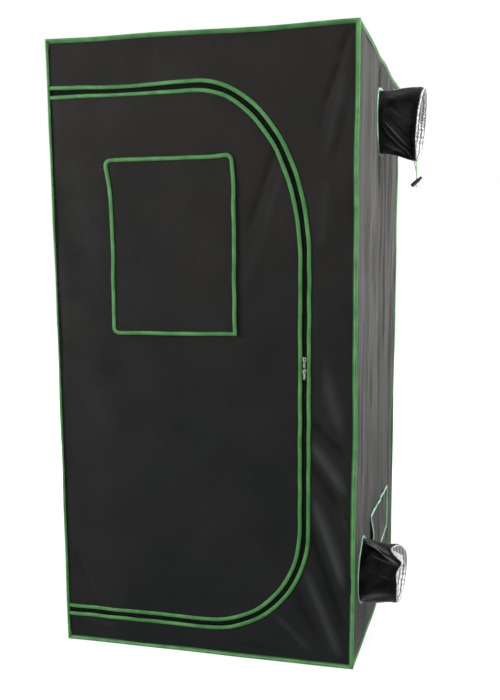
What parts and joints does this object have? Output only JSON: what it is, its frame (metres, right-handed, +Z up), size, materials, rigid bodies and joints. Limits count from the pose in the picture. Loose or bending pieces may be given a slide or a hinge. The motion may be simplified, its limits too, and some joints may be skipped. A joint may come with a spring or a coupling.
{
  "type": "indoor grow tent",
  "caption": "Tall square fabric tent on a push-fit pole frame, with a D-shaped zipped door, a flapped window, two duct sleeves and a low flapped vent.",
  "frame": {"origin": "on the ground, under the middle of the tent's floor", "axes": "+Z up along the corner posts; the door faces -Y; the duct sleeves leave the +X wall"},
  "size_m": [1.1525, 1.0114, 2],
  "materials": {
    "black_cloth": "coarse woven polyester, matt, silver film behind",
    "green_piping": "folded woven binding tape, satin",
    "silver_lining": "crinkled reflective silver film on cloth",
    "sleeve_cloth": "thin coated nylon, slight shine",
    "pole_enamel": "white baked enamel on steel tube, satin",
    "corner_plastic": "moulded black plastic",
    "zip_tape": "woven black zip tape with nylon coil",
    "zip_metal": "plated die-cast metal, worn",
    "clear_vinyl": "clear flexible vinyl",
    "screen_mesh": "fine black insect mesh",
    "green_cord": "braided green cord",
    "lock_plastic": "moulded black plastic"
  },
  "bodies": {
    "tent": {"post_lower_front_left": "pole_enamel", "post_lower_front_right": "pole_enamel", "post_lower_back_left": "pole_enamel", "post_lower_back_right": "pole_enamel", "post_upper_front_left": "pole_enamel", "post_upper_front_right": "pole_enamel", "post_upper_back_left": "pole_enamel", "post_upper_back_right": "pole_enamel", "base_rail_front": "pole_enamel", "base_rail_back": "pole_enamel", "base_rail_left": "pole_enamel", "base_rail_right": "pole_enamel", "roof_rail_front": "pole_enamel", "roof_rail_back": "pole_enamel", "roof_rail_left": "pole_enamel", "roof_rail_right": "pole_enamel", "corner_base_front_left": "corner_plastic", "corner_base_front_right": "corner_plastic", "corner_base_back_left": "corner_plastic", "corner_base_back_right": "corner_plastic", "corner_roof_front_left": "corner_plastic", "corner_roof_front_right": "corner_plastic", "corner_roof_back_left": "corner_plastic", "corner_roof_back_right": "corner_plastic", "roof_skin": "black_cloth", "floor_skin": "black_cloth", "back_wall": "black_cloth", "left_wall": "black_cloth", "right_wall": "black_cloth", "front_panel": "black_cloth", "edge_piping": "green_piping", "doorway_piping": "green_piping", "zip_outer_half": "zip_tape", "upper_sleeve": "sleeve_cloth", "upper_sleeve_lining": "silver_lining", "upper_port_piping": "green_piping", "lower_sleeve": "sleeve_cloth", "lower_sleeve_lining": "silver_lining", "lower_port_piping": "green_piping", "vent_screen": "screen_mesh", "drawcord_front": "green_cord", "drawcord_back": "green_cord", "drawcord_knot": "green_cord"},
    "door": {"door_leaf": "black_cloth", "door_leaf_piping": "green_piping", "zip_inner_half": "zip_tape", "window_pane": "clear_vinyl"},
    "window_flap": {"window_flap": "black_cloth", "window_flap_piping": "green_piping"},
    "upper_slider": {"zip_slider_upper": "zip_metal"},
    "upper_pull": {"zip_pull_upper": "zip_metal"},
    "lower_slider": {"zip_slider_lower": "zip_metal"},
    "lower_pull": {"zip_pull_lower": "zip_metal"},
    "vent_flap": {"vent_flap": "black_cloth", "vent_flap_piping": "green_piping"},
    "roof_bar_front": {"roof_bar_front": "pole_enamel"},
    "roof_bar_back": {"roof_bar_back": "pole_enamel"},
    "floor_tray": {"floor_tray": "silver_lining"},
    "cord_lock": {"cord_lock_body": "lock_plastic"},
    "cord_button": {"cord_lock_button": "lock_plastic"}
  },
  "joints": [
    {"name": "door_swing", "type": "hinge", "parent": "tent", "child": "door", "pos_m": [-0.4947, -0.5053, 0.972], "axis": [0, 0, -1], "range_deg": [0, 170]},
    {"name": "window_flap_lift", "type": "hinge", "parent": "door", "child": "window_flap", "pos_m": [-0.09, -0.5046, 1.6285], "axis": [-1, 0, 0], "range_deg": [0, 170]},
    {"name": "upper_slider_travel", "type": "slide", "parent": "door", "child": "upper_slider", "axis": [0, 0, 1], "range_m": [0, 0.295]},
    {"name": "upper_pull_turn", "type": "hinge", "parent": "upper_slider", "child": "upper_pull", "pos_m": [0.34, -0.5038, 1.001], "axis": [-1, 0, 0], "range_deg": [0, 170]},
    {"name": "lower_slider_travel", "type": "slide", "parent": "door", "child": "lower_slider", "axis": [0, 0, 1], "range_m": [-0.5, 0]},
    {"name": "lower_pull_turn", "type": "hinge", "parent": "lower_slider", "child": "lower_pull", "pos_m": [0.34, -0.5038, 0.964], "axis": [-1, 0, 0], "range_deg": [0, 170]},
    {"name": "vent_flap_lift", "type": "hinge", "parent": "tent", "child": "vent_flap", "pos_m": [0.5046, 0.1125, 0.4045], "axis": [0, -1, 0], "range_deg": [0, 170]},
    {"name": "roof_bar_front_slide", "type": "slide", "parent": "tent", "child": "roof_bar_front", "axis": [0, 1, 0], "range_m": [-0.24, 0.1]},
    {"name": "roof_bar_back_slide", "type": "slide", "parent": "tent", "child": "roof_bar_back", "axis": [0, 1, 0], "range_m": [-0.1, 0.31]},
    {"name": "floor_tray_lift", "type": "slide", "parent": "tent", "child": "floor_tray", "axis": [0, 0, 1], "range_m": [0, 0.15]},
    {"name": "cord_lock_slide", "type": "slide", "parent": "tent", "child": "cord_lock", "axis": [0, 0, 1], "range_m": [0, 0.016]},
    {"name": "cord_button_press", "type": "slide", "parent": "cord_lock", "child": "cord_button", "axis": [-0.7547, 0, -0.6561], "range_m": [0, 0.004], "stiffness_N_per_m": 300, "springref_m": -0.002}
  ]
}
